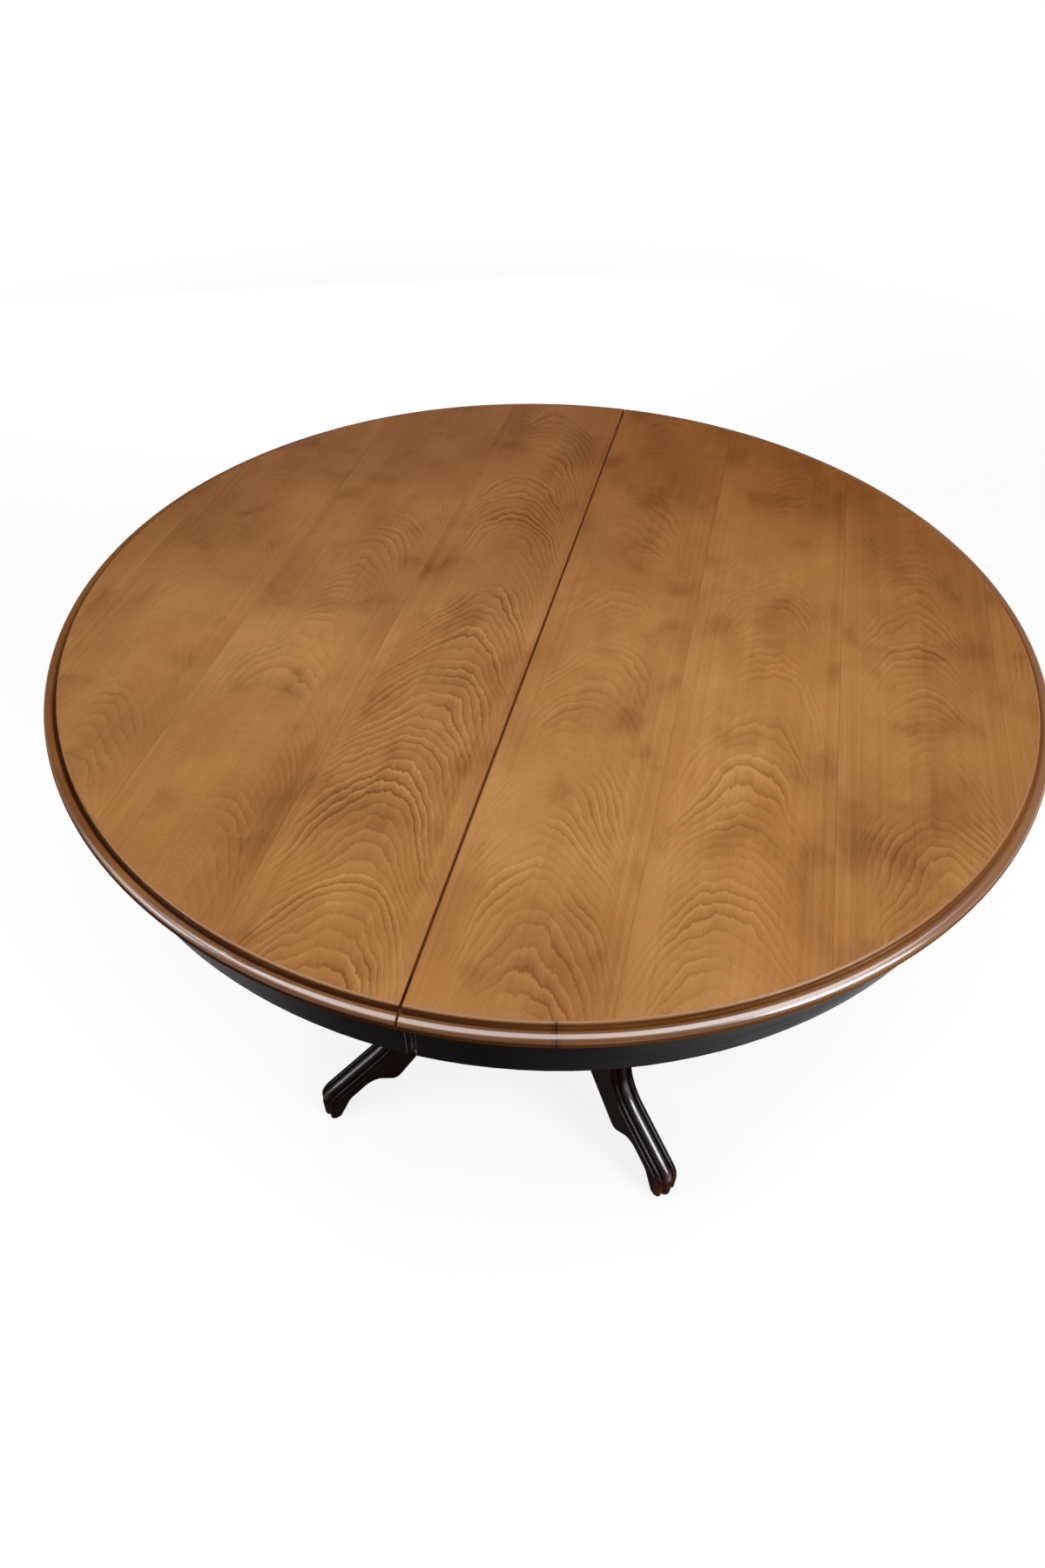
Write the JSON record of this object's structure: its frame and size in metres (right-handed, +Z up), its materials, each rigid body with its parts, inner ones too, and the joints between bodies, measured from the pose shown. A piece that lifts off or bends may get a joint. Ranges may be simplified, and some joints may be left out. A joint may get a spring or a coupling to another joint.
{
  "type": "pedestal extension table",
  "caption": "Round dining table on a turned pedestal with reeded sabre feet; its veneered half tops slide apart evenly for a leaf.",
  "frame": {"origin": "on the floor, under the axis of the pedestal", "axes": "+Z up, +X the way the right half slides out, +Y along the seam to the rear"},
  "size_m": [0.9998, 1, 0.75],
  "materials": {
    "veneer": "satin lacquer",
    "rim_wood": "gloss lacquer over dark glaze",
    "core_board": "raw board",
    "dark_lacquer": "near-black gloss lacquer",
    "beech": "planed, waxed",
    "nylon": "moulded",
    "zinc_steel": "zinc plated",
    "glide_plastic": "moulded"
  },
  "bodies": {
    "pedestal": {"column": "dark_lacquer", "column_drop": "dark_lacquer", "foot_bolts": "zinc_steel", "foot_front_left": "dark_lacquer", "foot_front_right": "dark_lacquer", "foot_glides": "glide_plastic", "foot_nuts": "zinc_steel", "foot_rear_left": "dark_lacquer", "foot_rear_right": "dark_lacquer", "foot_washers": "zinc_steel", "front_rail": "beech", "head_board": "dark_lacquer", "head_bolts": "zinc_steel", "pinion_axle": "zinc_steel", "rail_screws": "zinc_steel", "rear_rail": "beech"},
    "right_half": {"right_apron": "dark_lacquer", "right_face_veneer": "veneer", "right_glue_blocks": "beech", "right_inner_runner": "beech", "right_latch_base": "zinc_steel", "right_latch_keeper": "zinc_steel", "right_latch_screws": "zinc_steel", "right_outer_runner": "beech", "right_rack": "nylon", "right_rim_closer": "rim_wood", "right_rim_long_a": "rim_wood", "right_rim_long_b": "rim_wood", "right_seam_dowels": "beech", "right_slide_screws": "zinc_steel", "right_top_core": "core_board"},
    "left_half": {"left_apron": "dark_lacquer", "left_face_veneer": "veneer", "left_glue_blocks": "beech", "left_inner_runner": "beech", "left_latch_base": "zinc_steel", "left_latch_keeper": "zinc_steel", "left_latch_screws": "zinc_steel", "left_outer_runner": "beech", "left_rack": "nylon", "left_rim_closer": "rim_wood", "left_rim_long_a": "rim_wood", "left_rim_long_b": "rim_wood", "left_seam_dowels": "beech", "left_slide_screws": "zinc_steel", "left_top_core": "core_board"},
    "pinion": {"equalizer_pinion": "nylon"},
    "right_latch": {"right_latch_lever": "zinc_steel"},
    "left_latch": {"left_latch_lever": "zinc_steel"}
  },
  "joints": [
    {"name": "right_half_slide", "type": "slide", "parent": "pedestal", "child": "right_half", "axis": [1, 0, 0], "range_m": [0, 0.17]},
    {"name": "left_half_slide", "type": "slide", "parent": "pedestal", "child": "left_half", "axis": [-1, 0, 0], "range_m": [0, 0.17]},
    {"name": "pinion_spin", "type": "hinge", "parent": "pedestal", "child": "pinion", "pos_m": [0, 0, 0.706], "axis": [0, 0, 1], "range_deg": [0, 390]},
    {"name": "right_latch_swing", "type": "hinge", "parent": "right_half", "child": "right_latch", "pos_m": [0.035, -0.3, 0.7266], "axis": [0, 0, 1], "range_deg": [0, 90]},
    {"name": "left_latch_swing", "type": "hinge", "parent": "left_half", "child": "left_latch", "pos_m": [-0.035, 0.3, 0.7266], "axis": [0, 0, 1], "range_deg": [0, 90]}
  ],
  "couplings": [
    {"joint": "left_half_slide", "follows": "right_half_slide", "ratio": 1},
    {"joint": "pinion_spin", "follows": "right_half_slide", "rad_per_m": 40}
  ]
}
